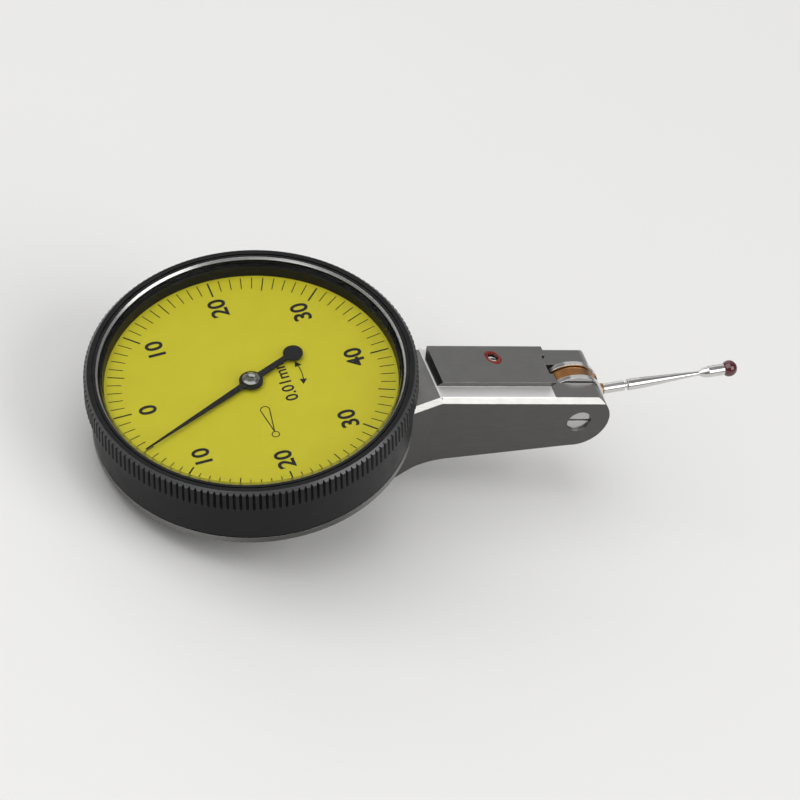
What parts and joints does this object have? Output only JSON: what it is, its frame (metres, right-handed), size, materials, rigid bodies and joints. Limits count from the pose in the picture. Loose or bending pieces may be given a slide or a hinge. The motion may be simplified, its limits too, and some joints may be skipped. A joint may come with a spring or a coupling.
{
  "type": "dial test indicator",
  "caption": "Lever-type dial test indicator: tilted yellow dial in a knurled black bezel on a dovetailed bar, with a swivelling ball-tipped stylus that drives the pointer.",
  "frame": {"origin": "centre of the flat face of the bottom dovetail, on which the instrument rests", "axes": "+X along the body bar towards the stylus, +Z out of the top dovetail's flat face, +Y to the left; the dial faces up and leans 20 degrees back towards -X"},
  "size_m": [0.0835, 0.04, 0.0236],
  "materials": {
    "satin_chrome": "satin chrome plated steel, fine ground",
    "black_bezel": "satin black anodised",
    "crystal": "clear polished",
    "dial_yellow": "matte yellow print",
    "pointer_black": "matte black",
    "polished_steel": "polished",
    "brass": "turned",
    "bronze": "turned bronze",
    "jewel_red": "polished ruby",
    "spring_steel": "blued",
    "carbide": "ground",
    "rubber": "matte",
    "screw_steel": "slotted screw steel"
  },
  "bodies": {
    "frame": {"frame_body": "satin_chrome", "centre_bridge": "brass", "centre_bridge_screws": "screw_steel", "lower_cock": "brass", "lower_cock_screw": "screw_steel", "centre_jewels": "jewel_red", "train_bridge": "brass", "train_bridge_screws": "screw_steel", "train_jewels": "jewel_red", "hairspring_stud": "screw_steel", "pivot_screws": "screw_steel", "stop_screw": "screw_steel", "bezel_snap_ring": "spring_steel", "bezel_seal": "rubber"},
    "bezel_ring": {"bezel": "black_bezel", "crystal": "crystal", "dial_plate": "dial_yellow", "dial_clamp_ring": "spring_steel"},
    "lever_arm": {"lever": "satin_chrome", "lever_axle": "polished_steel", "friction_washers": "bronze"},
    "stylus": {"stylus_hub": "bronze", "stylus_shank": "carbide", "ruby_ball": "jewel_red"},
    "sector": {"sector_gear": "brass", "sector_arbor": "polished_steel"},
    "crown": {"crown_arbor": "polished_steel", "crown_wheel": "brass"},
    "hand": {"pointer_arbor": "polished_steel", "hairspring_collet": "brass", "hairspring": "spring_steel", "pointer": "pointer_black", "pointer_cap": "polished_steel"}
  },
  "joints": [
    {"name": "bezel_turn", "type": "hinge", "parent": "frame", "child": "bezel_ring", "pos_m": [-0.00456, 0, 0.01443], "axis": [-0.342, 0, 0.9397], "continuous": true},
    {"name": "lever_swing", "type": "hinge", "parent": "frame", "child": "lever_arm", "pos_m": [0.038, 0, 0.013], "axis": [0, -1, 0], "range_deg": [-0.01, 2.41]},
    {"name": "stylus_set", "type": "hinge", "parent": "lever_arm", "child": "stylus", "pos_m": [0.038, 0, 0.013], "axis": [0, -1, 0], "range_deg": [-130, 105]},
    {"name": "sector_turn", "type": "hinge", "parent": "frame", "child": "sector", "pos_m": [0.00587, 0, 0.00888], "axis": [0, -1, 0], "range_deg": [-9.9, 0.05]},
    {"name": "crown_turn", "type": "hinge", "parent": "frame", "child": "crown", "pos_m": [-0.00217, 0, 0.00785], "axis": [0, -1, 0], "range_deg": [-0.1, 78.9]},
    {"name": "pointer_turn", "type": "hinge", "parent": "frame", "child": "hand", "pos_m": [-0.00456, 0, 0.01443], "axis": [0.342, 0, -0.9397], "range_deg": [0, 393.9], "stiffness_Nm_per_rad": 0.000003, "springref_deg": -716.2, "deforming": ["hairspring"]}
  ],
  "couplings": [
    {"joint": "lever_swing", "follows": "pointer_turn", "ratio": 0.0060921},
    {"joint": "sector_turn", "follows": "pointer_turn", "ratio": -0.025},
    {"joint": "crown_turn", "follows": "pointer_turn", "ratio": 0.2}
  ]
}
